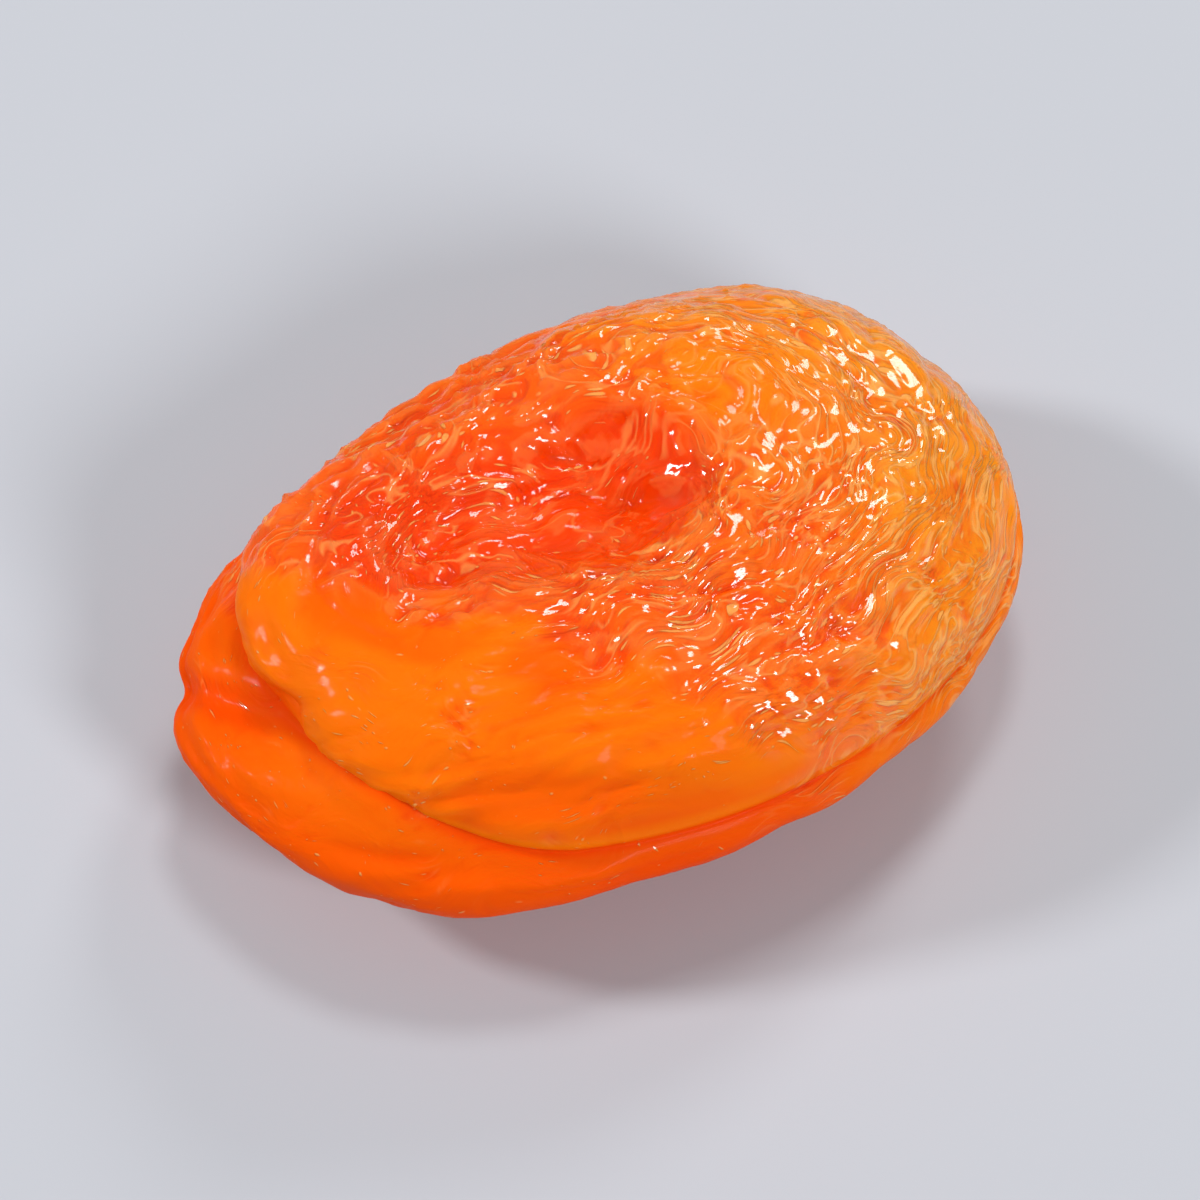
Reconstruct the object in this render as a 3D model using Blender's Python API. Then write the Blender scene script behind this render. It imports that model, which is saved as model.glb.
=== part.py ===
"""A whole dried apricot with its stone pressed out, lying on its broader half.

Metres, +Z up. The stem end is at -X and the broad end at +X. The fruit is two flattened halves
that meet at a crease round the rim: the upper half sits back from it at the stem end and along
the -Y side, where the lower half shows as a fat lip. The upper half has a long hollow where the
stone was. The origin is at the middle of the underside, on the surface that the fruit lies on.
"""

import math

import bmesh
import bpy
import numpy as np
from mathutils import Vector, noise

MM = 0.001

# Driving sizes
LENGTH = 42.6 * MM
WIDTH = 29.2 * MM
UPPER_HEIGHT = 7.6 * MM
LOWER_HEIGHT = 7.6 * MM
FOOT_DEPTH = 0.2 * MM

# The ball that the fruit is shaped from: slices round it and from top to bottom
SLICES_ROUND = 38
SLICES_HIGH = 18
CREASE_CROWDING = 1.25

# How full the two halves are: 1 is an ellipsoid, less is squarer
RIM_FULLNESS = 0.84
CROWN_FULLNESS = 0.92
BELLY_FULLNESS = 1.05

# How the rim's outline departs from an ellipse: how many bulges a wave makes round it, their
# height as a share of the fruit's half length, and where one of them peaks, in degrees from +X
RIM_WAVES = ((3, 0.025, 45), (4, 0.022, -34))

# The crease between the halves. Each bracket gives an amount, the middle of the stretch of rim
# where it acts and half the length of that stretch, in degrees round the fruit from +X.
STEM_SET_BACK = (0.18, 179, 56)
SIDE_SET_BACK = (0.05, 235, 34)
RIM_SET_BACK = 0.012
CREASE_RISE = (1.3 * MM, 208, 22)
CURL_HEIGHT = 4.5 * MM
CREASE_DEPTH = 0.2 * MM
CREASE_DEPTH_MORE = (0.4 * MM, 215, 75)
CREASE_REACH = math.radians(6)

# The widest place lies below the ball's equator. Above the crease the upper half swells out
# again by a share of its set back, over an angle.
WAIST_DROP = 0.85 * MM
SHOULDER_SWELL = 0.3
SHOULDER_ANGLE = math.radians(17)

# The hollow over the stone's place, from its shallow end to its deep end. It is narrower past its
# deep end by a share of its radius, and the higher the edge value, the steeper its walls.
HOLLOW_START = (-6.4 * MM, 3.7 * MM)
HOLLOW_END = (1.8 * MM, 2.0 * MM)
HOLLOW_DEPTH = 4.2 * MM
HOLLOW_SHALLOW_SHARE = 0.65
HOLLOW_RADIUS = 4.1 * MM
HOLLOW_NARROWING = 0.35
HOLLOW_EDGE = 2.4

# Single folds in the skin: height, radius and route, in millimetres. A route without heights lies
# on the upper half.
STROKES = {
    "stem_tuck": (-0.8, 1.0, [(-20, 6.4, -2.4), (-20, 5.6, -0.4), (-19, 3, 2.2), (-17, -1.6, 4.6)]),
    "lip_furrow": (-0.35, 0.9, [(-13.7, -8.8, 4.8), (-11.5, -9.9, 5.1), (-8, -11.4, 4.7), (-4, -12.4, 4.2)]),
    "lobe_valley": (-0.55, 1.2, [(3.2, 1.2), (4.5, -0.8), (6, -3.8), (8.8, -5.6)]),
    "lobe_edge": (-0.3, 0.7, [(11.2, 6.2), (8, 4.2), (5.6, 2.4), (4.6, 0.2)]),
    "near_fold": (0.45, 0.8, [(-9, 2.6), (-5.6, 2.6), (-2.2, 2), (1, 1.4)]),
    "far_fold": (0.35, 0.8, [(-7, 6.4), (-3.8, 5.6), (-0.8, 4.6), (1.6, 3.6)]),
}

# Wrinkles: height, width across and length along. A higher sharpness makes the valleys narrower.
FOLDS = (0.35 * MM, 6 * MM, 11 * MM)
WRINKLES = (0.45 * MM, 2.9 * MM, 5.4 * MM)
WRINKLE_SHARPNESS = 4
SWIRL = (0.45, 5.5 * MM)
CENTRE_SMOOTHING = 1.5 * MM
HEIGHT_PULL = 1.3

# The near shoulder is smoother than the rest: a line parts it off, as the share of x and y and the
# distance in x * share + y * share + distance, which is zero on it
SHOULDER_LINE = (0.76, 0.65, 7.1 * MM)
LEAST_WRINKLED = 0.4
UNDERSIDE_WRINKLED = 0.7
CALM_RIM = 0.5
CALM_CREASE = 0.15
CALM_CREASE_REACH = math.radians(12)

SKIN = (0.95, 0.24, 0.012, 1)


def clear_scene():
    for old in list(bpy.data.objects):
        bpy.data.objects.remove(old)


def smooth_step(low, high, value):
    share = np.clip((value - low) / (high - low), 0, 1)
    return share * share * (3 - 2 * share)


def on_rim(degrees, amount, middle, half_width):
    """An amount that fades out to both sides of a stretch of the rim."""
    away = (degrees - middle + 180) % 360 - 180
    return amount * np.exp(-((away / half_width) ** 2))


def noise_at(points, seed):
    """Smooth noise, about -0.6 to 0.6, with features one unit wide."""
    shift = Vector((seed * 17.3, seed * -9.1, seed * 5.7))
    return np.array([noise.noise(Vector(p) + shift) for p in points])


def noise_vectors(points, seed):
    return np.stack([noise_at(points, seed + part * 0.37) for part in range(3)], axis=1)


def sliced_ball():
    """A cube sliced into a grid, evenly by angle but closer at the equator, then made a unit ball."""
    ball = bmesh.new()
    bmesh.ops.create_cube(ball, size=2)
    across = ((0, SLICES_ROUND, 1), (1, SLICES_ROUND, 1), (2, SLICES_HIGH, CREASE_CROWDING))
    for axis, slices, crowding in across:
        normal = Vector((0, 0, 0))
        normal[axis] = 1
        for k in range(1, slices):
            share = 2 * k / slices - 1
            place = math.tan(math.copysign(abs(share) ** crowding, share) * math.pi / 4)
            whole = ball.verts[:] + ball.edges[:] + ball.faces[:]
            bmesh.ops.bisect_plane(ball, geom=whole, plane_co=normal * place, plane_no=normal, dist=1e-7)
    for v in ball.verts:
        v.co.normalize()
    return ball


def hollow(x, y):
    """Depth of the hollow: a trough that deepens towards +X and ends there at a steep wall."""
    run = np.subtract(HOLLOW_END, HOLLOW_START)
    share = ((x - HOLLOW_START[0]) * run[0] + (y - HOLLOW_START[1]) * run[1]) / (run @ run)
    held = np.clip(share, 0, 1)
    away = np.hypot(x - HOLLOW_START[0] - held * run[0], y - HOLLOW_START[1] - held * run[1])
    radius = HOLLOW_RADIUS * (1 - HOLLOW_NARROWING * smooth_step(0.75, 1.25, share))
    depth = HOLLOW_DEPTH * (HOLLOW_SHALLOW_SHARE + (1 - HOLLOW_SHALLOW_SHARE) * smooth_step(0, 1, share))
    return depth * np.exp(-((away / radius) ** HOLLOW_EDGE))


def form(directions):
    """The fruit's body without its wrinkles, for unit directions from the middle of the ball."""
    dx, dy, dz = directions.T
    turn = np.arctan2(dy, dx)
    degrees = np.degrees(turn)
    rise = np.arcsin(np.clip(dz, -1, 1))
    set_back = np.maximum(on_rim(degrees, *STEM_SET_BACK), on_rim(degrees, *SIDE_SET_BACK))
    set_back = set_back + RIM_SET_BACK

    # The lower half goes on past the widest place and curls in over it, as far as the crease.
    curl = np.arccos(1 - set_back)
    crease = CURL_HEIGHT * np.sin(curl) + on_rim(degrees, *CREASE_RISE)
    under = np.minimum(rise + curl * (1 + np.minimum(rise, 0) / (math.pi / 2)), curl)
    low_reach = np.cos(under) ** np.where(under < 0, RIM_FULLNESS, 1)
    low_z = np.where(
        under < 0,
        -(LOWER_HEIGHT - WAIST_DROP) * np.abs(np.sin(under)) ** BELLY_FULLNESS,
        crease * np.sin(under) / np.sin(curl),
    )

    # The upper half starts at the crease and swells out over it before it closes at the top.
    swell = SHOULDER_SWELL * (1 - np.exp(-((rise / SHOULDER_ANGLE) ** 2)))
    high_reach = np.cos(rise) ** RIM_FULLNESS * (1 - set_back * (1 - swell))
    high_z = crease + (UPPER_HEIGHT + WAIST_DROP - crease) * np.abs(np.sin(rise)) ** CROWN_FULLNESS

    reach = np.where(rise > 0, high_reach, low_reach)
    for bulges, share, peak in RIM_WAVES:
        reach = reach * (1 + share * np.cos(np.radians(bulges * (degrees - peak))))
    x = LENGTH / 2 * reach * np.cos(turn)
    y = WIDTH / 2 * reach * np.sin(turn)
    z = np.where(rise > 0, high_z - hollow(x, y) * smooth_step(0.1, 0.6, rise), low_z) - WAIST_DROP

    inset = CREASE_DEPTH + on_rim(degrees, *CREASE_DEPTH_MORE)
    narrower = 1 - inset * np.exp(-np.abs(rise) / CREASE_REACH) / np.hypot(x, y)
    return np.stack([x * narrower, y * narrower, z], axis=1)


def on_skin(route, points):
    """The points of the skin nearest to a route's. Without heights it is on the upper half."""
    flat = route.shape[1] == 2
    seen = points[:, :2] if flat else points
    away = np.linalg.norm(seen[None] - route[:, None], axis=2)
    if flat:
        away[:, points[:, 2] < 0] = np.inf
    return points[away.argmin(axis=1)]


def stroke(points, radius, route):
    """How strongly a fold along a route acts: 1 on it, fading out to its sides and its ends."""
    route = on_skin(np.array(route) * MM, points)
    runs = np.linalg.norm(np.diff(route, axis=0), axis=1)
    reached = np.concatenate([[0], np.cumsum(runs)])
    nearest = np.full(len(points), np.inf)
    place = np.zeros(len(points))
    for k, run in enumerate(runs):
        step = (route[k + 1] - route[k]) / run
        along = np.clip((points - route[k]) @ step, 0, run)
        away = np.linalg.norm(points - route[k] - along[:, None] * step, axis=1)
        closer = away < nearest
        nearest = np.where(closer, away, nearest)
        place = np.where(closer, reached[k] + along, place)
    share = place / reached[-1]
    ends = smooth_step(0, 0.2, share) * smooth_step(0, 0.2, 1 - share)
    return np.exp(-((nearest / radius) ** 2)) * (0.25 + 0.75 * ends)


def from_hollow(points):
    """Distance from the hollow's middle line, evened out so that one value follows the rim all round."""
    gathered = smooth_step(-2 * MM, 4 * MM, points[:, 2])[:, None]
    start, end = np.array(HOLLOW_START) * gathered, np.array(HOLLOW_END) * gathered
    run, to_point = end - start, points[:, :2] - start
    held = np.clip((to_point * run).sum(axis=1) / np.maximum((run**2).sum(axis=1), MM**2), 0, 1)
    out = (to_point - held[:, None] * run) * (1, LENGTH / WIDTH)
    return np.sqrt((out**2).sum(axis=1) + CENTRE_SMOOTHING**2)


def skin_space(points, across, along, seed):
    """Places on the skin, squeezed so that noise there runs round the hollow and along the rim."""
    x, y, z = points.T
    unhollowed = z + hollow(x, y) * smooth_step(0, 3 * MM, z)
    away = from_hollow(points) - HEIGHT_PULL * unhollowed
    place = np.stack([x / along, y / along, away / across], axis=1)
    strength, size = SWIRL
    shifts = noise_vectors(points / size, seed) * strength * size
    return place + shifts / (along, along, across)


def wrinkled_share(points):
    """How wrinkled the skin is: most round the hollow and at the broad end, least on the near lips."""
    x, y, z = points.T
    x_share, y_share, distance = SHOULDER_LINE
    beyond_shoulder = smooth_step(-2.5 * MM, 2.5 * MM, x * x_share + y * y_share + distance)
    top = beyond_shoulder * smooth_step(-4 * MM, 2.5 * MM, z)
    below = UNDERSIDE_WRINKLED * smooth_step(-3 * MM, -6 * MM, z)
    return LEAST_WRINKLED + (1 - LEAST_WRINKLED) * np.maximum(top, below)


def folds(points):
    height, across, along = FOLDS
    return height * 2 * noise_at(skin_space(points, across, along, 3.1), 1)


def wrinkles(points):
    """Rounded ridges with narrow valleys between them."""
    height, across, along = WRINKLES
    field = np.abs(noise_at(skin_space(points, across, along, 5.3), 2))
    return height * (0.4 - np.exp(-field * WRINKLE_SHARPNESS)) * wrinkled_share(points)


def calmed(points):
    """How much of the relief is left: none beside the flat spot, less along the broad end's rim."""
    x, y, z = points.T
    beside_foot = np.where(z < 0, smooth_step(3 * MM, 8 * MM, np.hypot(x, y)), 1)
    outwards = 2 * np.hypot(x / LENGTH, y / WIDTH)
    rim = smooth_step(0.8, 0.95, outwards) * smooth_step(-8 * MM, 0, x)
    return beside_foot * (1 - CALM_RIM * rim)


def beside_crease(directions):
    """How much of the wrinkles is left: little at the crease, so that its two sides stay apart."""
    rise = np.abs(np.arcsin(directions[:, 2]))
    return CALM_CREASE + (1 - CALM_CREASE) * smooth_step(0, CALM_CREASE_REACH, rise)


def relief(points, directions):
    height = (folds(points) + wrinkles(points)) * beside_crease(directions)
    for rise, radius, route in STROKES.values():
        height += rise * MM * stroke(points, radius * MM, route)
    return height * calmed(points)


def normals_of(mesh):
    mesh.update()
    found = np.empty(len(mesh.vertices) * 3)
    mesh.vertex_normals.foreach_get("vector", found)
    return found.reshape(-1, 3)


def set_points(mesh, points):
    mesh.vertices.foreach_set("co", points.ravel())
    mesh.update()


def stand(points):
    """Sets the fruit on its flat spot, with the origin at the middle of its box."""
    low, high = points.min(axis=0), points.max(axis=0)
    middle = (low + high) / 2
    points = points - (middle[0], middle[1], low[2] + FOOT_DEPTH)
    points[:, 2] = np.maximum(points[:, 2], 0)
    return points


def skin_material():
    material = bpy.data.materials.new("skin")
    material.use_nodes = True
    shader = material.node_tree.nodes["Principled BSDF"]
    shader.inputs["Base Color"].default_value = SKIN
    shader.inputs["Roughness"].default_value = 0.35
    shader.inputs["Metallic"].default_value = 0
    return material


def make_apricot():
    ball = sliced_ball()
    mesh = bpy.data.meshes.new("apricot")
    ball.to_mesh(mesh)
    ball.free()
    directions = np.empty(len(mesh.vertices) * 3)
    mesh.vertices.foreach_get("co", directions)
    directions = directions.reshape(-1, 3)
    points = form(directions)
    set_points(mesh, points)
    points = points + normals_of(mesh) * relief(points, directions)[:, None]
    set_points(mesh, stand(points))
    mesh.materials.append(skin_material())
    mesh.shade_smooth()
    return bpy.data.objects.new("apricot", mesh)


def main():
    clear_scene()
    fruit = bpy.data.collections.new("dried_apricot")
    bpy.context.scene.collection.children.link(fruit)
    fruit.objects.link(make_apricot())


main()
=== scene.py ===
"""The looks of a whole dried apricot: wrinkled, softly glossy skin, a pale floor, light and camera.

The skin piece is the same shape as the frame's fruit, from the same named sizes, with a finer
surface: thin crests, small plateaus, ripples and waves, and a material for what is finer still.
"""

import math

import bpy
import numpy as np
from mathutils import Matrix, Vector, noise


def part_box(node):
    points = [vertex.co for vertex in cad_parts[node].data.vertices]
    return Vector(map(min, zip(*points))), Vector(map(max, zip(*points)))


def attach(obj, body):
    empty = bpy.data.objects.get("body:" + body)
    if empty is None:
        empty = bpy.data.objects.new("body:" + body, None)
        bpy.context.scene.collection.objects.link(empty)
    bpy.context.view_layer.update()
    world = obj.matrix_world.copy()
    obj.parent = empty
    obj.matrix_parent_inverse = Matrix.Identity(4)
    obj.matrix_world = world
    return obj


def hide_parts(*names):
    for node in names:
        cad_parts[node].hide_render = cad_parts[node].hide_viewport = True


MM = 0.001

# Driving sizes
LENGTH = 42.6 * MM
WIDTH = 29.2 * MM
UPPER_HEIGHT = 7.6 * MM
LOWER_HEIGHT = 7.6 * MM
FOOT_DEPTH = 0.2 * MM

# The ball that the fruit is shaped from: slices round it and from top to bottom, and how many
# times each slice is cut again
SLICES_ROUND = 38
SLICES_HIGH = 18
CREASE_CROWDING = 1.25
FINER_CUTS = 3

# How full the two halves are: 1 is an ellipsoid, less is squarer
RIM_FULLNESS = 0.84
CROWN_FULLNESS = 0.92
BELLY_FULLNESS = 1.05

# How the rim's outline departs from an ellipse: how many bulges a wave makes round it, their
# height as a share of the fruit's half length, and where one of them peaks, in degrees from +X
RIM_WAVES = ((3, 0.025, 45), (4, 0.022, -34))

# The crease between the halves. Each bracket gives an amount, the middle of the stretch of rim
# where it acts and half the length of that stretch, in degrees round the fruit from +X.
STEM_SET_BACK = (0.18, 179, 56)
SIDE_SET_BACK = (0.05, 235, 34)
RIM_SET_BACK = 0.012
CREASE_RISE = (1.3 * MM, 208, 22)
CURL_HEIGHT = 4.5 * MM
CREASE_DEPTH = 0.2 * MM
CREASE_DEPTH_MORE = (0.4 * MM, 215, 75)
CREASE_REACH = math.radians(6)

# The widest place lies below the ball's equator. Above the crease the upper half swells out
# again by a share of its set back, over an angle.
WAIST_DROP = 0.85 * MM
SHOULDER_SWELL = 0.3
SHOULDER_ANGLE = math.radians(17)

# The hollow over the stone's place, from its shallow end to its deep end. It is narrower past its
# deep end by a share of its radius, and the higher the edge value, the steeper its walls. Its
# basin is painted redder: partly the skin's deeper tone there, partly painted shade.
HOLLOW_START = (-6.4 * MM, 3.7 * MM)
HOLLOW_END = (1.8 * MM, 2.0 * MM)
HOLLOW_DEPTH = 4.2 * MM
HOLLOW_SHALLOW_SHARE = 0.65
HOLLOW_RADIUS = 4.1 * MM
HOLLOW_NARROWING = 0.35
HOLLOW_EDGE = 2.4
BASIN_START = (-8.5 * MM, 4.6 * MM)
BASIN_RADIUS = 4.4 * MM

# Single folds in the skin: height, radius and route, in millimetres. A route without heights lies
# on the upper half.
STROKES = {
    "stem_tuck": (-0.8, 1.0, [(-20, 6.4, -2.4), (-20, 5.6, -0.4), (-19, 3, 2.2), (-17, -1.6, 4.6)]),
    "lip_furrow": (-0.35, 0.9, [(-13.7, -8.8, 4.8), (-11.5, -9.9, 5.1), (-8, -11.4, 4.7), (-4, -12.4, 4.2)]),
    "lobe_valley": (-0.55, 1.2, [(3.2, 1.2), (4.5, -0.8), (6, -3.8), (8.8, -5.6)]),
    "lobe_edge": (-0.3, 0.7, [(11.2, 6.2), (8, 4.2), (5.6, 2.4), (4.6, 0.2)]),
    "near_fold": (0.45, 0.8, [(-9, 2.6), (-5.6, 2.6), (-2.2, 2), (1, 1.4)]),
    "far_fold": (0.35, 0.8, [(-7, 6.4), (-3.8, 5.6), (-0.8, 4.6), (1.6, 3.6)]),
}

# Wrinkles: height, width across and length along. A higher sharpness makes the valleys narrower.
FOLDS = (0.35 * MM, 6 * MM, 11 * MM)
WRINKLES = (0.32 * MM, 2.9 * MM, 5.4 * MM)
WRINKLE_SHARPNESS = 4
SWIRL = (0.45, 5.5 * MM)
STROKE_SWIRL = (0.9, 2.6 * MM)
CENTRE_SMOOTHING = 1.5 * MM
STROKE_CENTRE_SMOOTHING = 3 * MM
HEIGHT_PULL = 1.3

# The near shoulder is smoother than the rest: a line parts it off, as the share of x and y and the
# distance in x * share + y * share + distance, which is zero on it
SHOULDER_LINE = (0.76, 0.65, 7.1 * MM)
SHOULDER_BLEND = 2.5 * MM
LEAST_WRINKLED = 0.4
TOP_BEGINS = (-4 * MM, 2.5 * MM)
UNDERSIDE_WRINKLED = 0.7
UNDERSIDE_BEGINS = (-3 * MM, -6 * MM)
CALM_FOOT = (3 * MM, 8 * MM)
CALM_RIM = 0.5
CALM_CREASE = 0.15
CALM_CREASE_REACH = math.radians(12)

# Thin raised lines: height, width of the line, spacing across and along, level of the noise that
# a line follows, share of the skin that has them, and seed
CRESTS = (
    (0.16 * MM, 0.46 * MM, 2.4 * MM, 4.2 * MM, 0.0, 0.45, 4),
    (0.1 * MM, 0.34 * MM, 1.5 * MM, 2.8 * MM, 0.12, 0.42, 14),
)
PLATEAUS = (0.05 * MM, 1.2 * MM, 2.2 * MM)
RIPPLES = (0.14 * MM, 1.7 * MM, 4.5 * MM)

# Waves, the small rounded ridges and valleys that give wet wrinkled skin its glints: height, width
# across and length along, how much of them smooth skin has, the size of the patches that they come
# in with the least and the further height there, and where and by how much the broad end is calmer
WAVES = (0.25 * MM, 1.1 * MM, 1.5 * MM)
LEAST_WAVED = 0.24
WAVE_PATCHES = (3.3 * MM, 0.4, 0.7)
BROAD_END = (5 * MM, 14 * MM)
BROAD_END_CALM = 0.55

# Skin height that the material's attribute "relief" gives as 1
RELIEF_UNIT = 0.5 * MM

# Where the strokes are sparse, as a place and a radius beyond the hollow's end, and the belt on the
# near side of the hollow where they are gathered, as its distance from the hollow and half width
SPARSE_SPOT = (8.2 * MM, 3.2 * MM)
SPARSE_RADIUS = 4.2 * MM
BELT_DISTANCE = 5.5 * MM
BELT_REACH = 2.8 * MM

# How densely they lie: from which to which share of wrinkles they set in, how uneven that edge is
# and in pieces of what size, and what the deep hollow and the sparse spot take and the belt adds
STROKES_SET_IN = (0.45, 0.9)
UNEVEN_EDGE = (0.35, 2.2 * MM)
FEWER_IN_HOLLOW = 0.5
FEWER_IN_SPARSE_SPOT = 0.6
MORE_IN_BELT = 0.4

# Camera: the angle of the photograph's view on the fruit
CAMERA_AZIMUTH = math.radians(-26.4)
CAMERA_ELEVATION = math.radians(56.4)
CAMERA_ROLL = math.radians(2.8)
CAMERA_DISTANCE = 0.30
CAMERA_LENS = 190

# Lamps: place, width across and power, and the point that they face
LAMPS = {
    "upper_right": ((0.24, 0.16, 0.22), 0.09, 0.32),
    "upper_left": ((-0.24, 0.16, 0.22), 0.06, 0.62),
    "overhead": ((0.09, 0.10, 0.34), 0.08, 0.32),
    "front_fill": ((0.06, -0.34, 0.24), 0.12, 1.0),
}
LAMPS_FACE = (0, 0, 0.008)
ROOM_COLOUR = (0.84, 0.83, 0.81, 1)
ROOM_STRENGTH = 0.22
FLOOR_COLOUR = (0.52, 0.54, 0.59, 1)
FLOOR_SIDE = 3


def smooth_step(low, high, value):
    share = np.clip((value - low) / (high - low), 0, 1)
    return share * share * (3 - 2 * share)


def on_rim(degrees, amount, middle, half_width):
    """An amount that fades out to both sides of a stretch of the rim."""
    away = (degrees - middle + 180) % 360 - 180
    return amount * np.exp(-((away / half_width) ** 2))


def noise_at(points, seed):
    """Smooth noise, about -0.6 to 0.6, with features one unit wide."""
    shift = Vector((seed * 17.3, seed * -9.1, seed * 5.7))
    return np.array([noise.noise(Vector(p) + shift) for p in points])


def noise_vectors(points, seed):
    return np.stack([noise_at(points, seed + part * 0.37) for part in range(3)], axis=1)


def hollow(x, y):
    """Depth of the hollow: a trough that deepens towards +X and ends there at a steep wall."""
    run = np.subtract(HOLLOW_END, HOLLOW_START)
    share = ((x - HOLLOW_START[0]) * run[0] + (y - HOLLOW_START[1]) * run[1]) / (run @ run)
    held = np.clip(share, 0, 1)
    away = np.hypot(x - HOLLOW_START[0] - held * run[0], y - HOLLOW_START[1] - held * run[1])
    radius = HOLLOW_RADIUS * (1 - HOLLOW_NARROWING * smooth_step(0.75, 1.25, share))
    depth = HOLLOW_DEPTH * (HOLLOW_SHALLOW_SHARE + (1 - HOLLOW_SHALLOW_SHARE) * smooth_step(0, 1, share))
    return depth * np.exp(-((away / radius) ** HOLLOW_EDGE))


def form(directions):
    """The fruit's body without its wrinkles, for unit directions from the middle of the ball."""
    dx, dy, dz = directions.T
    turn = np.arctan2(dy, dx)
    degrees = np.degrees(turn)
    rise = np.arcsin(np.clip(dz, -1, 1))
    set_back = np.maximum(on_rim(degrees, *STEM_SET_BACK), on_rim(degrees, *SIDE_SET_BACK))
    set_back = set_back + RIM_SET_BACK

    # The lower half goes on past the widest place and curls in over it, as far as the crease.
    curl = np.arccos(1 - set_back)
    crease = CURL_HEIGHT * np.sin(curl) + on_rim(degrees, *CREASE_RISE)
    under = np.minimum(rise + curl * (1 + np.minimum(rise, 0) / (math.pi / 2)), curl)
    low_reach = np.cos(under) ** np.where(under < 0, RIM_FULLNESS, 1)
    low_z = np.where(
        under < 0,
        -(LOWER_HEIGHT - WAIST_DROP) * np.abs(np.sin(under)) ** BELLY_FULLNESS,
        crease * np.sin(under) / np.sin(curl),
    )

    # The upper half starts at the crease and swells out over it before it closes at the top.
    swell = SHOULDER_SWELL * (1 - np.exp(-((rise / SHOULDER_ANGLE) ** 2)))
    high_reach = np.cos(rise) ** RIM_FULLNESS * (1 - set_back * (1 - swell))
    high_z = crease + (UPPER_HEIGHT + WAIST_DROP - crease) * np.abs(np.sin(rise)) ** CROWN_FULLNESS

    reach = np.where(rise > 0, high_reach, low_reach)
    for bulges, share, peak in RIM_WAVES:
        reach = reach * (1 + share * np.cos(np.radians(bulges * (degrees - peak))))
    x = LENGTH / 2 * reach * np.cos(turn)
    y = WIDTH / 2 * reach * np.sin(turn)
    z = np.where(rise > 0, high_z - hollow(x, y) * smooth_step(0.1, 0.6, rise), low_z) - WAIST_DROP

    inset = CREASE_DEPTH + on_rim(degrees, *CREASE_DEPTH_MORE)
    narrower = 1 - inset * np.exp(-np.abs(rise) / CREASE_REACH) / np.hypot(x, y)
    return np.stack([x * narrower, y * narrower, z], axis=1)


def basin(points):
    """How deep in the hollow's basin each point lies, from 0 to 1: there the colour is redder, partly the
    skin's deeper tone and partly painted shade.
    """
    run = np.subtract(HOLLOW_END, BASIN_START)
    to_point = points[:, :2] - BASIN_START
    held = np.clip(to_point @ run / (run @ run), 0, 1)
    away = np.linalg.norm(to_point - held[:, None] * run, axis=1)
    return np.exp(-((away / BASIN_RADIUS) ** 3)) * (points[:, 2] > 0)


def lip(directions):
    """The edge of the upper half over the crease, where light shines through the skin."""
    turn = np.degrees(np.arctan2(directions[:, 1], directions[:, 0]))
    rise = np.degrees(np.arcsin(np.clip(directions[:, 2], -1, 1)))
    return np.exp(-(((rise - 5) / 6) ** 2)) * (rise > 0) * on_rim(turn, 1, 225, 75)


def seam(directions):
    """The crease between the halves, where the colour is painted darkest, as shade."""
    rise = np.degrees(np.arcsin(np.clip(directions[:, 2], -1, 1)))
    return np.exp(-((rise / 1.6) ** 2))


def on_skin(route, points):
    """The points of the skin nearest to a route's. Without heights it is on the upper half."""
    flat = route.shape[1] == 2
    seen = points[:, :2] if flat else points
    away = np.linalg.norm(seen[None] - route[:, None], axis=2)
    if flat:
        away[:, points[:, 2] < 0] = np.inf
    return points[away.argmin(axis=1)]


def stroke(points, radius, route):
    """How strongly a fold along a route acts: 1 on it, fading out to its sides and its ends."""
    route = on_skin(np.array(route) * MM, points)
    runs = np.linalg.norm(np.diff(route, axis=0), axis=1)
    reached = np.concatenate([[0], np.cumsum(runs)])
    nearest = np.full(len(points), np.inf)
    place = np.zeros(len(points))
    for k, run in enumerate(runs):
        step = (route[k + 1] - route[k]) / run
        along = np.clip((points - route[k]) @ step, 0, run)
        away = np.linalg.norm(points - route[k] - along[:, None] * step, axis=1)
        closer = away < nearest
        nearest = np.where(closer, away, nearest)
        place = np.where(closer, reached[k] + along, place)
    share = place / reached[-1]
    ends = smooth_step(0, 0.2, share) * smooth_step(0, 0.2, 1 - share)
    return np.exp(-((nearest / radius) ** 2)) * (0.25 + 0.75 * ends)


def from_hollow(points, smoothing):
    """Distance from the hollow's middle line, evened out so that one value follows the rim all round."""
    gathered = smooth_step(-2 * MM, 4 * MM, points[:, 2])[:, None]
    start, end = np.array(HOLLOW_START) * gathered, np.array(HOLLOW_END) * gathered
    run, to_point = end - start, points[:, :2] - start
    held = np.clip((to_point * run).sum(axis=1) / np.maximum((run**2).sum(axis=1), MM**2), 0, 1)
    out = (to_point - held[:, None] * run) * (1, LENGTH / WIDTH)
    return np.sqrt((out**2).sum(axis=1) + smoothing**2)


def skin_space(points, across, along, seed, smoothing=CENTRE_SMOOTHING):
    """Places on the skin, squeezed so that noise there runs round the hollow and along the rim."""
    x, y, z = points.T
    unhollowed = z + hollow(x, y) * smooth_step(0, 3 * MM, z)
    away = from_hollow(points, smoothing) - HEIGHT_PULL * unhollowed
    place = np.stack([x / along, y / along, away / across], axis=1)
    strength, size = SWIRL
    shifts = noise_vectors(points / size, seed) * strength * size
    return place + shifts / (along, along, across)


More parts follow.
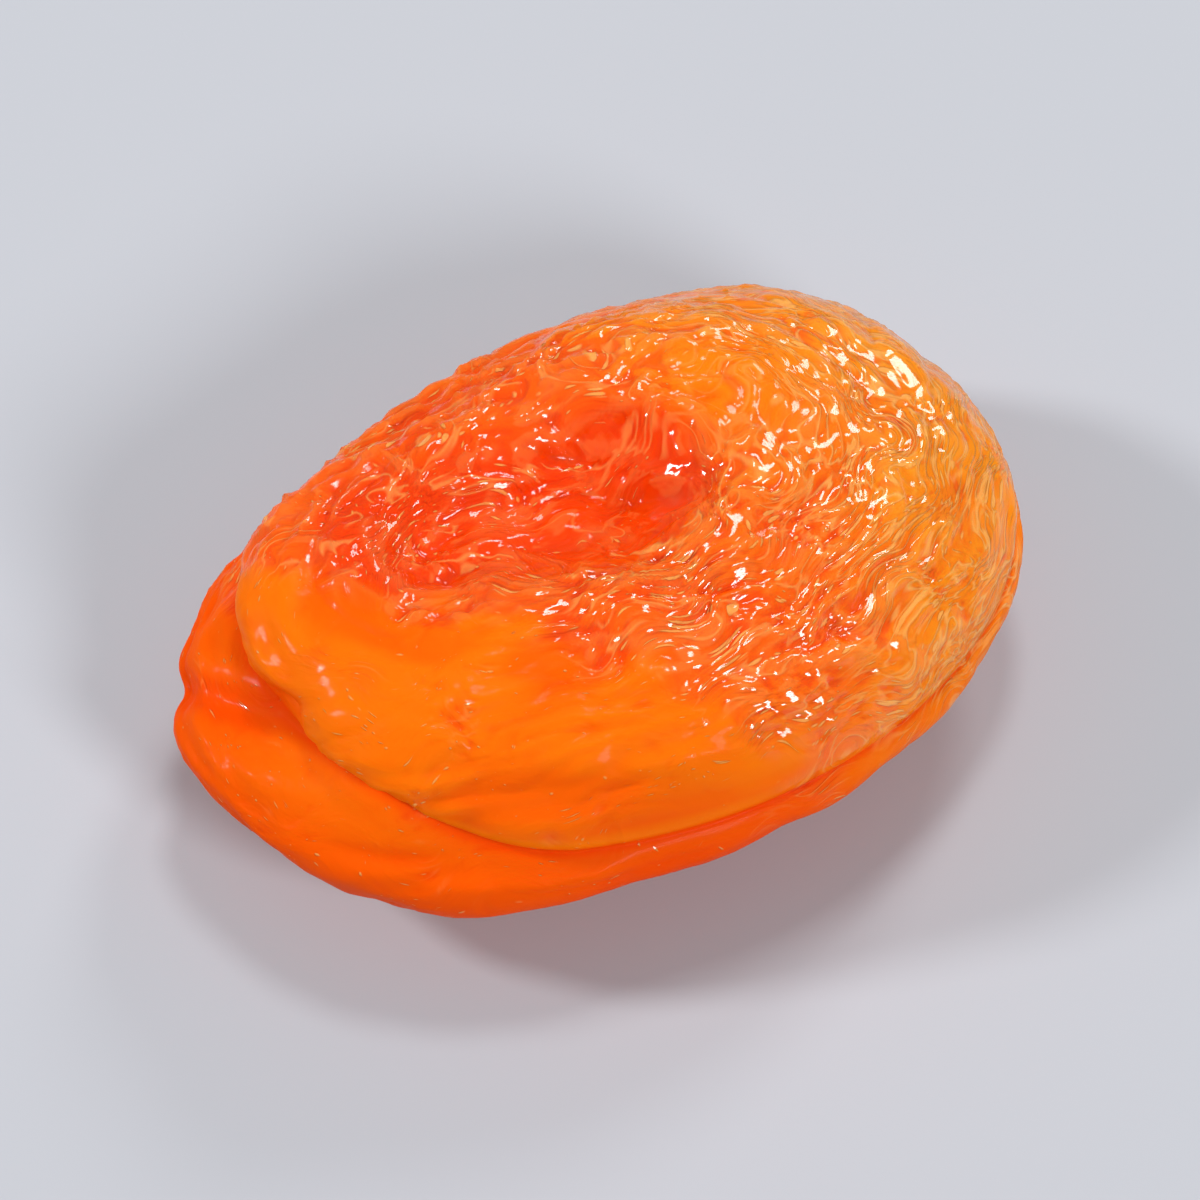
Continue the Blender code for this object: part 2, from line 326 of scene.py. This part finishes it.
def wrinkled_share(points):
    """How wrinkled the skin is: most round the hollow and at the broad end, least on the near lips."""
    x, y, z = points.T
    x_share, y_share, distance = SHOULDER_LINE
    beyond_shoulder = smooth_step(-SHOULDER_BLEND, SHOULDER_BLEND, x * x_share + y * y_share + distance)
    top = beyond_shoulder * smooth_step(*TOP_BEGINS, z)
    below = UNDERSIDE_WRINKLED * smooth_step(*UNDERSIDE_BEGINS, z)
    return LEAST_WRINKLED + (1 - LEAST_WRINKLED) * np.maximum(top, below)


def folds(points):
    height, across, along = FOLDS
    return height * 2 * noise_at(skin_space(points, across, along, 3.1), 1)


def wrinkles(points):
    """Rounded ridges with narrow valleys between them."""
    height, across, along = WRINKLES
    field = np.abs(noise_at(skin_space(points, across, along, 5.3), 2))
    return height * (0.4 - np.exp(-field * WRINKLE_SHARPNESS)) * wrinkled_share(points)


def crests(points):
    """Thin raised lines in two sizes, broken into strokes: their height and their strength."""
    height = np.zeros(len(points))
    strength = np.zeros(len(points))
    rough = smooth_step(0.42, 0.85, wrinkled_share(points))
    for rise, width, across, along, level, cover, seed in CRESTS:
        field = noise_at(skin_space(points, across, along, seed + 3.7), seed) - level
        line = np.exp(-((field / (0.7 * width / across)) ** 2))
        patches = noise_at(skin_space(points, across * 1.1, along * 0.8, seed + 8.3), seed + 2)
        shown = smooth_step(-0.06, 0.1, patches + cover - 0.5)
        height += rise * line * shown * rough
        strength = np.maximum(strength, line * shown * rough)
    return height, strength


def ripples(points):
    """Soft low waves along the lips, where the skin has no thin lines."""
    height, across, along = RIPPLES
    field = noise_at(skin_space(points, across, along, 6.1), 16)
    return height * 2 * field * (1 - smooth_step(0.5, 0.9, wrinkled_share(points)))


def plateaus(points):
    """Small flat-topped patches with steep edges."""
    height, across, along = PLATEAUS
    field = noise_at(skin_space(points, across, along, 9.9), 8)
    return height * smooth_step(0.02, 0.16, field) * smooth_step(0.3, 0.9, wrinkled_share(points))


def calmed(points):
    """How much of the relief is left: none beside the flat spot, less along the broad end's rim."""
    x, y, z = points.T
    beside_foot = np.where(z < 0, smooth_step(*CALM_FOOT, np.hypot(x, y)), 1)
    outwards = 2 * np.hypot(x / LENGTH, y / WIDTH)
    rim = smooth_step(0.8, 0.95, outwards) * smooth_step(-8 * MM, 0, x)
    return beside_foot * (1 - CALM_RIM * rim)


def beside_crease(directions):
    """How much of the wrinkles is left: little at the crease, so that its two sides stay apart."""
    rise = np.abs(np.arcsin(np.clip(directions[:, 2], -1, 1)))
    return CALM_CREASE + (1 - CALM_CREASE) * smooth_step(0, CALM_CREASE_REACH, rise)


def waves(points):
    """Small rounded ridges and valleys, as a share of their height: lower on the smooth lips."""
    across, along = WAVES[1:]
    place = grain(points) * MM / (along, along, across)
    field = noise_at(place, 31) + 0.5 * noise_at(place * 2, 32)
    size, least, further = WAVE_PATCHES
    patches = least + further * smooth_step(-0.25, 0.25, noise_at(points / size, 33))
    broad_end = 1 - BROAD_END_CALM * smooth_step(*BROAD_END, points[:, 0])
    return field * patches * broad_end * (LEAST_WAVED + roughness(points))


def relief(points, directions):
    """Height of all wrinkles, with the share of the waves and of the thin raised lines in it."""
    line_height, lines = crests(points)
    waved = waves(points)
    height = folds(points) + wrinkles(points) + ripples(points) + plateaus(points) + line_height
    height += WAVES[0] * waved
    height *= beside_crease(directions)
    for rise, radius, route in STROKES.values():
        height += rise * MM * stroke(points, radius * MM, route)
    return height * calmed(points), waved * calmed(points), lines * calmed(points)


def sliced_ball():
    """A cube sliced into a grid, evenly by angle but closer at the equator, for a unit ball."""
    bpy.ops.object.select_all(action="DESELECT")
    bpy.ops.mesh.primitive_cube_add(size=2)
    bpy.ops.object.mode_set(mode="EDIT")
    cuts = ((0, SLICES_ROUND, 1), (1, SLICES_ROUND, 1), (2, SLICES_HIGH, CREASE_CROWDING))
    for axis, slices, crowding in cuts:
        normal = Vector((0, 0, 0))
        normal[axis] = 1
        for k in range(1, slices):
            share = 2 * k / slices - 1
            place = math.tan(math.copysign(abs(share) ** crowding, share) * math.pi / 4)
            bpy.ops.mesh.select_all(action="SELECT")
            bpy.ops.mesh.bisect(plane_co=normal * place, plane_no=normal, threshold=1e-6)
    bpy.ops.mesh.select_all(action="SELECT")
    bpy.ops.mesh.subdivide(number_cuts=FINER_CUTS)
    bpy.ops.object.mode_set(mode="OBJECT")
    return bpy.context.object


def points_of(mesh):
    found = np.empty(len(mesh.vertices) * 3)
    mesh.vertices.foreach_get("co", found)
    return found.reshape(-1, 3)


def set_points(mesh, points):
    mesh.vertices.foreach_set("co", points.ravel())
    mesh.update()


def normals_of(mesh):
    found = np.empty(len(mesh.vertices) * 3)
    mesh.vertex_normals.foreach_get("vector", found)
    return found.reshape(-1, 3)


def stand_in_box(points, low, high):
    """Sets the fruit on its flat spot, in the middle of the box that the frame gives it."""
    lowest, highest = points.min(axis=0), points.max(axis=0)
    room = (high - low) / (highest - lowest + (0, 0, -FOOT_DEPTH))
    middle = (lowest + highest) / 2
    points = (points - (middle[0], middle[1], lowest[2] + FOOT_DEPTH)) * room
    points = points + ((low + high) / 2 * (1, 1, 0) + low * (0, 0, 1))
    points[:, 2] = np.maximum(points[:, 2], low[2])
    return points


def keep(mesh, name, values):
    """Stores a value or a vector for each point, for the material to read."""
    vector = values.ndim == 2
    layer = mesh.attributes.new(name, "FLOAT_VECTOR" if vector else "FLOAT", "POINT")
    layer.data.foreach_set("vector" if vector else "value", values.ravel())


def roughness(points):
    """How densely strokes lie in the skin: 0 on the smooth lips, 1 on wrinkled skin, more in the belt."""
    x, y, z = points.T
    amount, size = UNEVEN_EDGE
    uneven = wrinkled_share(points) + amount * noise_at(points / size, 21)
    rough = smooth_step(*STROKES_SET_IN, uneven)
    from_spot = np.hypot(x - SPARSE_SPOT[0], y - SPARSE_SPOT[1])
    sparse = np.exp(-((from_spot / SPARSE_RADIUS) ** 3)) * (z > 0)
    distance = from_hollow(points, CENTRE_SMOOTHING)
    belt = np.exp(-(((distance - BELT_DISTANCE) / BELT_REACH) ** 2))
    near_side = smooth_step(3 * MM, -1 * MM, y - 0.1 * x) * (z > 0)
    deep = smooth_step(0.6 * HOLLOW_DEPTH, HOLLOW_DEPTH, hollow(x, y)) * (z > 0)
    fewer = FEWER_IN_HOLLOW * deep + FEWER_IN_SPARSE_SPOT * sparse
    return rough * (1 - fewer + MORE_IN_BELT * belt * near_side)


def grain(points):
    """Places for the strokes in the skin, in mm: they run round the hollow, and along it inside."""
    place = skin_space(points, MM, MM, 11.3, STROKE_CENTRE_SMOOTHING)
    place[:, 2] += basin(points) * points[:, 1] / MM
    strength, size = STROKE_SWIRL
    return place + noise_vectors(points / size, 12.9) * strength * size / MM


def make_skin(low, high):
    fruit = sliced_ball()
    fruit.name = "apricot_skin"
    mesh = fruit.data
    directions = points_of(mesh)
    directions /= np.linalg.norm(directions, axis=1)[:, None]
    body = form(directions)
    set_points(mesh, body)
    height, waved, lines = relief(body, directions)
    set_points(mesh, stand_in_box(body + normals_of(mesh) * height[:, None], low, high))
    keep(mesh, "grain", grain(body))
    keep(mesh, "basin", basin(body))
    keep(mesh, "wave", waved)
    keep(mesh, "crest", lines)
    keep(mesh, "lip", lip(directions))
    keep(mesh, "seam", seam(directions))
    keep(mesh, "rough", roughness(body))
    keep(mesh, "relief", height / RELIEF_UNIT)
    mesh.shade_smooth()
    return fruit


# Material


def group(name, inputs, outputs):
    """An empty node group with named sockets: name to kind, or to kind and value."""
    tree = bpy.data.node_groups.new(name, "ShaderNodeTree")
    for label, (kind, value) in inputs.items():
        socket = tree.interface.new_socket(label, in_out="INPUT", socket_type="NodeSocket" + kind)
        if value is not None:
            socket.default_value = value
    for label, kind in outputs.items():
        tree.interface.new_socket(label, in_out="OUTPUT", socket_type="NodeSocket" + kind)
    return tree


def add(tree, kind, links=(), **settings):
    """A node with its settings, which are properties, and its inputs: a value or a socket each."""
    node = tree.nodes.new("ShaderNode" + kind)
    for label, value in settings.items():
        setattr(node, label, value)
    for label, source in dict(links).items():
        if isinstance(source, bpy.types.NodeSocket):
            tree.links.new(source, node.inputs[label])
        else:
            node.inputs[label].default_value = source
    return node


def math_node(tree, operation, first, second=0.0):
    node = add(tree, "Math", {0: first, 1: second}, operation=operation)
    return node.outputs[0]


def ramp(tree, value, low, high, start=0.0, end=1.0):
    """Turns a value's range into another, smoothly."""
    links = {"Value": value, "From Min": low, "From Max": high, "To Min": start, "To Max": end}
    return add(tree, "MapRange", links, interpolation_type="SMOOTHSTEP").outputs["Result"]


def mix(tree, share, first, second):
    node = tree.nodes.new("ShaderNodeMix")
    node.data_type = "RGBA"
    for label, source in ((0, share), (6, first), (7, second)):
        if isinstance(source, bpy.types.NodeSocket):
            tree.links.new(source, node.inputs[label])
        else:
            node.inputs[label].default_value = source
    return node.outputs[2]


def stretched(tree, given):
    """The given place, squeezed along the strokes by their length and across them by their spacing."""
    closer = math_node(tree, "DIVIDE", 1.0, given["Spacing"])
    shorter = math_node(tree, "DIVIDE", 1.0, given["Length"])
    stretch = add(tree, "CombineXYZ", {0: shorter, 1: shorter, 2: closer}).outputs[0]
    scaled = add(tree, "VectorMath", {0: given["Place"], 1: stretch}, operation="MULTIPLY").outputs[0]
    return add(tree, "VectorMath", {0: scaled, 1: given["Start"]}, operation="ADD").outputs[0]


def strokes_group():
    """Short raised strokes: long thin cells of the skin, each as large as its own random share allows."""
    tree = group(
        "Skin strokes",
        {
            "Place": ("Vector", None),
            "Length": ("Float", 2.0),
            "Spacing": ("Float", 0.5),
            "Size": ("Float", 0.3),
            "Start": ("Vector", (0, 0, 0)),
        },
        {"Stroke": "Float"},
    )
    given = tree.nodes.new("NodeGroupInput").outputs
    cells = add(tree, "TexVoronoi", {"Vector": stretched(tree, given), "Scale": 1.0, "Randomness": 1.0})
    own = add(tree, "SeparateXYZ", {0: cells.outputs["Color"]}).outputs[0]
    reach = math_node(tree, "MULTIPLY", given["Size"], ramp(tree, own, 0.0, 1.0, 0.45, 1.2))
    inside = math_node(tree, "SUBTRACT", reach, cells.outputs["Distance"])
    out = tree.nodes.new("NodeGroupOutput")
    tree.links.new(ramp(tree, inside, 0.0, 0.14), out.inputs["Stroke"])
    return tree


def waves_group():
    """Rounded ridges and valleys side by side, as wet wrinkled skin has them."""
    tree = group(
        "Skin waves",
        {
            "Place": ("Vector", None),
            "Length": ("Float", 1.6),
            "Spacing": ("Float", 0.7),
            "Detail": ("Float", 1.0),
            "Start": ("Vector", (0, 0, 0)),
        },
        {"Height": "Float"},
    )
    given = tree.nodes.new("NodeGroupInput").outputs
    place = stretched(tree, given)
    settings = {"Vector": place, "Scale": 1.0, "Detail": given["Detail"], "Roughness": 0.5}
    field = add(tree, "TexNoise", settings)
    out = tree.nodes.new("NodeGroupOutput")
    tree.links.new(math_node(tree, "SUBTRACT", field.outputs["Fac"], 0.5), out.inputs["Height"])
    return tree


def loops_group():
    """Thin raised outlines of small plateaus: the line where stretched noise crosses its middle."""
    tree = group(
        "Skin loops",
        {
            "Place": ("Vector", None),
            "Length": ("Float", 3.6),
            "Spacing": ("Float", 1.7),
            "Width": ("Float", 0.05),
            "Cover": ("Float", 0.5),
            "Start": ("Vector", (0, 0, 0)),
        },
        {"Line": "Float"},
    )
    given = tree.nodes.new("NodeGroupInput").outputs
    moved = stretched(tree, given)
    settings = {"Vector": moved, "Scale": 1.0, "Detail": 1.0, "Roughness": 0.4}
    field = add(tree, "TexNoise", settings).outputs["Fac"]
    from_middle = math_node(tree, "ABSOLUTE", math_node(tree, "SUBTRACT", field, 0.5))
    line = ramp(tree, from_middle, given["Width"], 0.0)
    patches = add(tree, "TexNoise", {"Vector": moved, "Scale": 0.9, "Detail": 0.0}).outputs["Fac"]
    limit = math_node(tree, "SUBTRACT", 1.0, given["Cover"])
    shown = ramp(tree, math_node(tree, "SUBTRACT", patches, limit), -0.02, 0.05)
    out = tree.nodes.new("NodeGroupOutput")
    tree.links.new(math_node(tree, "MULTIPLY", line, shown), out.inputs["Line"])
    return tree


def placed(tree, node_group, **links):
    node = tree.nodes.new("ShaderNodeGroup")
    node.node_tree = node_group
    for label, source in links.items():
        if isinstance(source, bpy.types.NodeSocket):
            tree.links.new(source, node.inputs[label])
        else:
            node.inputs[label].default_value = source
    return node.outputs[0]


def attribute(tree, name, output="Fac"):
    return add(tree, "Attribute", attribute_name=name).outputs[output]


def times(tree, first, second):
    return math_node(tree, "MULTIPLY", first, second)


def plus(tree, first, second):
    return math_node(tree, "ADD", first, second)


def most(tree, first, *others):
    """The largest of several shares."""
    for share in others:
        first = math_node(tree, "MAXIMUM", first, share)
    return first


# Skin colours: orange is the skin's own; the yellower one is partly painted light, the redder one partly
# painted shade, the pale one a painted highlight
ORANGE = (1.0, 0.115, 0.001, 1)
YELLOW_AND_LIT = (1.0, 0.28, 0.004, 1)
SHADED_RED = (0.88, 0.046, 0.0, 1)
PAINTED_GLINT = (1.0, 0.46, 0.11, 1)

# Patterns in the skin, in mm along and across the grain, with the place where each one starts
DASHES = {"Length": 1.6, "Spacing": 0.44, "Start": (3, 1, 8)}
DOTS = {"Length": 0.9, "Spacing": 0.8, "Size": 0.16, "Start": (2, 6, 5)}
PLATEAU_EDGES = {"Length": 3.4, "Spacing": 1.5, "Width": 0.05, "Cover": 0.5, "Start": (4, 2, 6)}
NET = {"Length": 2.6, "Spacing": 0.7, "Width": 0.08, "Cover": 0.66, "Start": (1, 9, 4)}
FINE_WAVES = {"Length": 0.9, "Spacing": 0.55, "Detail": 1.0, "Start": (8, 2, 4)}
PLATEAU_EDGE_STRENGTH = 0.55
FINE_WAVE_STRENGTH = 0.4
LEAST_FINE_WAVED = 0.18
PATCHES_PER_MM = 0.3
CLOUDS_PER_MM = 0.12

# Ramps, each with the value where it starts and ends and what it gives there. Size of the dashes:
# by the skin's roughness, by patches of it, and in the hollow
DASH_SIZE = (0.0, 1.2, 0.15, 0.33)
DASH_PATCHES = (0.35, 0.65, 0.6, 1.25)
DASHES_IN_HOLLOW = (0.0, 0.6, 1.0, 0.7)
# Where the net of thin lines begins, in mm towards the broad end
NET_BEGINS = (5.0, 12.0, 0.0, 1.0)
# Height of the waves that counts as a ridge and as a valley
RIDGE = (0.07, 0.2, 0.0, 1.0)
VALLEY = (0.0, -0.2, 0.0, 1.0)
# Share of the yellower colour towards the broad end, partly the skin's tone and partly painted light on its
# lit side, and on the smooth shoulder by how smooth and how high it is; at the lip it is painted light
# shining through
YELLOW_CLOUDS = (0.5, 1.2, 0.0, 1.0)
YELLOW_SMOOTH = (1.0, 0.0, 0.0, 0.35)
YELLOW_HIGH = (7.0, 11.0, 0.0, 1.0)
YELLOW_PER_MM = 0.042
YELLOW_LIP = 0.6
# Share of the redder colour, painted shade: in the hollow, partly its deeper tone; in the low folds and the
# valleys;
# underneath, partly the skin's tone; and in the crease
HOLLOW_RED_AND_SHADE = (0.1, 0.8, 0.0, 0.9)
FOLD_SHADE = (0.1, -0.9, 0.0, 0.4)
UNDERSIDE_SHADE = (10.0, 3.0, 0.0, 0.8)
VALLEY_SHADE = 0.5
CREASE_SHADE = 0.7
# Painted highlight: how strongly the pale glint colour lies on the raised strokes, the ridges and the crests
GLINT_PAINT_SHARE = 0.75
GLINT_PAINT_ON_RIDGES = 0.18
GLINT_PAINT_ON_CRESTS = 0.18
# Wetness by the skin's roughness, by height and in the hollow, and on the raised strokes
WET = (0.0, 1.15, 0.035, 0.9)
WET_HIGH = (7.0, 10.5, 0.45, 1.0)
WET_HOLLOW = (0.3, 1.0, 1.0, 0.75)
WET_STROKES = 0.8
UNDER_COAT_ROUGHNESS = (0.0, 1.0, 0.45, 0.3)
# Height of the raised strokes, as a share of the bump's
STROKE_BUMP = 0.13
BUMP_HEIGHT = 0.5 * MM


def skin_patterns(tree, in_mm, east, rough_skin, hollow_share):
    """How strongly a raised stroke or line shows at each place, and the height of the fine waves."""
    grain_place = attribute(tree, "grain", "Vector")
    stroke_nodes, loop_nodes, wave_nodes = strokes_group(), loops_group(), waves_group()
    links = {"Vector": in_mm, "Scale": PATCHES_PER_MM, "Detail": 1.0}
    crowded = add(tree, "TexNoise", links).outputs["Fac"]
    size = times(tree, ramp(tree, rough_skin, *DASH_SIZE), ramp(tree, crowded, *DASH_PATCHES))
    size = times(tree, size, ramp(tree, hollow_share, *DASHES_IN_HOLLOW))
    dashes = placed(tree, stroke_nodes, Place=grain_place, Size=size, **DASHES)
    dots = placed(tree, stroke_nodes, Place=grain_place, **DOTS)
    edges = placed(tree, loop_nodes, Place=grain_place, **PLATEAU_EDGES)
    net = placed(tree, loop_nodes, Place=grain_place, **NET)
    net = times(tree, net, ramp(tree, east, *NET_BEGINS))
    lines = most(tree, times(tree, edges, PLATEAU_EDGE_STRENGTH), net)
    raised = most(tree, dashes, dots, times(tree, lines, rough_skin))

    fine = placed(tree, wave_nodes, Place=grain_place, **FINE_WAVES)
    strength = times(tree, plus(tree, rough_skin, LEAST_FINE_WAVED), FINE_WAVE_STRENGTH)
    return raised, times(tree, fine, strength)


def skin_colour(tree, in_mm, rough_skin, hollow_share, valley, painted_glints):
    """Yellower towards the broad end, partly painted light; redder in the hollow, the folds, the valleys,
    the crease and underneath, mostly painted shade; pale painted highlights on the strokes.
    """
    east, _, up = add(tree, "SeparateXYZ", {0: in_mm}).outputs
    links = {"Vector": in_mm, "Scale": CLOUDS_PER_MM, "Detail": 3.0}
    cloudy = add(tree, "TexNoise", links).outputs["Fac"]
    # Painted light: the broad end, on the lit side, turns yellower, mixed with clouds of the skin's own tone
    yellow_and_lit_share = plus(tree, times(tree, east, YELLOW_PER_MM), cloudy)
    colour = mix(tree, ramp(tree, yellow_and_lit_share, *YELLOW_CLOUDS), ORANGE, YELLOW_AND_LIT)
    shoulder = times(tree, ramp(tree, rough_skin, *YELLOW_SMOOTH), ramp(tree, up, *YELLOW_HIGH))
    edge = times(tree, attribute(tree, "lip"), YELLOW_LIP)
    colour = mix(tree, most(tree, shoulder, edge), colour, YELLOW_AND_LIT)
    # Painted shade: the redder colour laid into the hollow, the low folds, the lower body, the valleys and
    # the crease
    for share in (
        ramp(tree, hollow_share, *HOLLOW_RED_AND_SHADE),
        ramp(tree, attribute(tree, "relief"), *FOLD_SHADE),
        ramp(tree, up, *UNDERSIDE_SHADE),
        times(tree, valley, VALLEY_SHADE),
        times(tree, attribute(tree, "seam"), CREASE_SHADE),
    ):
        colour = mix(tree, share, colour, SHADED_RED)
    # Painted highlight: the pale glint colour laid over the raised strokes, the wave ridges and the crests
    return mix(tree, times(tree, painted_glints, GLINT_PAINT_SHARE), colour, PAINTED_GLINT)


def skin_material():
    material = bpy.data.materials.new("apricot_skin")
    material.use_nodes = True
    tree = material.node_tree
    shader = tree.nodes["Principled BSDF"]
    place = add(tree, "TexCoord").outputs["Object"]
    in_mm = add(tree, "VectorMath", {0: place, "Scale": 1 / MM}, operation="SCALE").outputs[0]
    east, _, up = add(tree, "SeparateXYZ", {0: in_mm}).outputs
    rough_skin = attribute(tree, "rough")
    hollow_share = attribute(tree, "basin")
    raised, fine = skin_patterns(tree, in_mm, east, rough_skin, hollow_share)

    waved = plus(tree, times(tree, attribute(tree, "wave"), 0.5), fine)
    # Painted highlights: pale colour where the waves ridge up, on the crests and on the raised strokes
    ridges = times(tree, ramp(tree, waved, *RIDGE), GLINT_PAINT_ON_RIDGES)
    crests = times(tree, attribute(tree, "crest"), GLINT_PAINT_ON_CRESTS)
    painted_glints = most(tree, raised, ridges, crests)
    valley = ramp(tree, waved, *VALLEY)
    colour = skin_colour(tree, in_mm, rough_skin, hollow_share, valley, painted_glints)
    tree.links.new(colour, shader.inputs["Base Color"])

    tree.links.new(ramp(tree, painted_glints, *UNDER_COAT_ROUGHNESS), shader.inputs["Roughness"])
    wet = times(tree, ramp(tree, rough_skin, *WET), ramp(tree, up, *WET_HIGH))
    wet = times(tree, wet, ramp(tree, hollow_share, *WET_HOLLOW))
    wet = most(tree, times(tree, raised, WET_STROKES), wet)
    tree.links.new(wet, shader.inputs["Coat Weight"])
    bumps = plus(tree, times(tree, raised, STROKE_BUMP), fine)
    bump = add(tree, "Bump", {"Strength": 1.0, "Distance": BUMP_HEIGHT, "Height": bumps})
    tree.links.new(bump.outputs[0], shader.inputs["Normal"])

    shader.inputs["Subsurface Weight"].default_value = 0.2
    shader.inputs["Subsurface Radius"].default_value = (1.0, 0.25, 0.05)
    shader.inputs["Subsurface Scale"].default_value = 1.2 * MM
    shader.inputs["Specular IOR Level"].default_value = 0.02
    shader.inputs["Coat Roughness"].default_value = 0.08
    return material


# Floor, light and camera


def make_floor():
    bpy.ops.object.select_all(action="DESELECT")
    bpy.ops.mesh.primitive_plane_add(size=FLOOR_SIDE)
    floor = bpy.context.object
    floor.name = "floor"
    material = bpy.data.materials.new("pale_floor")
    material.use_nodes = True
    shader = material.node_tree.nodes["Principled BSDF"]
    shader.inputs["Base Color"].default_value = FLOOR_COLOUR
    shader.inputs["Roughness"].default_value = 0.7
    floor.data.materials.append(material)


def soft_light(name, place, size, power):
    lamp = bpy.data.lights.new(name, "AREA")
    lamp.shape = "DISK"
    lamp.size = size
    lamp.energy = power
    holder = bpy.data.objects.new(name, lamp)
    holder.location = place
    holder.rotation_euler = (Vector(LAMPS_FACE) - Vector(place)).to_track_quat("-Z", "Y").to_euler()
    bpy.context.scene.collection.objects.link(holder)


def make_light():
    for name, (place, size, power) in LAMPS.items():
        soft_light(name, place, size, power)
    world = bpy.data.worlds.new("soft_room")
    world.use_nodes = True
    world.node_tree.nodes["Background"].inputs["Color"].default_value = ROOM_COLOUR
    world.node_tree.nodes["Background"].inputs["Strength"].default_value = ROOM_STRENGTH
    bpy.context.scene.world = world
    bpy.context.scene.view_settings.view_transform = "Standard"


def make_camera(low, high):
    back = Vector((
        math.sin(CAMERA_AZIMUTH) * math.cos(CAMERA_ELEVATION),
        -math.cos(CAMERA_AZIMUTH) * math.cos(CAMERA_ELEVATION),
        math.sin(CAMERA_ELEVATION),
    ))
    camera = bpy.data.objects.new("camera", bpy.data.cameras.new("camera"))
    camera.data.lens = CAMERA_LENS
    camera.data.clip_start = 0.01
    camera.location = Vector((low + high) / 2) + back * CAMERA_DISTANCE
    turned = (-back).to_track_quat("-Z", "Y").to_matrix() @ Matrix.Rotation(-CAMERA_ROLL, 3, "Z")
    camera.rotation_euler = turned.to_euler()
    bpy.context.scene.collection.objects.link(camera)
    bpy.context.scene.camera = camera


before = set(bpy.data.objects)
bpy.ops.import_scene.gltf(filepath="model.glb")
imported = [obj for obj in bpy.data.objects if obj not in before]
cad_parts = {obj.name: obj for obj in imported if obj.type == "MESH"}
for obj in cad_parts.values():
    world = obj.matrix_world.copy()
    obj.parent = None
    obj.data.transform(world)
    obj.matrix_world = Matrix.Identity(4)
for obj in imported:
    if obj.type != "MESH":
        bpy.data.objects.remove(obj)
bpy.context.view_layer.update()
low, high = (np.array(corner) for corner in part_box("apricot"))

skin = make_skin(low, high)
skin.data.materials.append(skin_material())
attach(skin, "root")
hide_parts("apricot")

make_floor()
make_light()
make_camera(low, high)
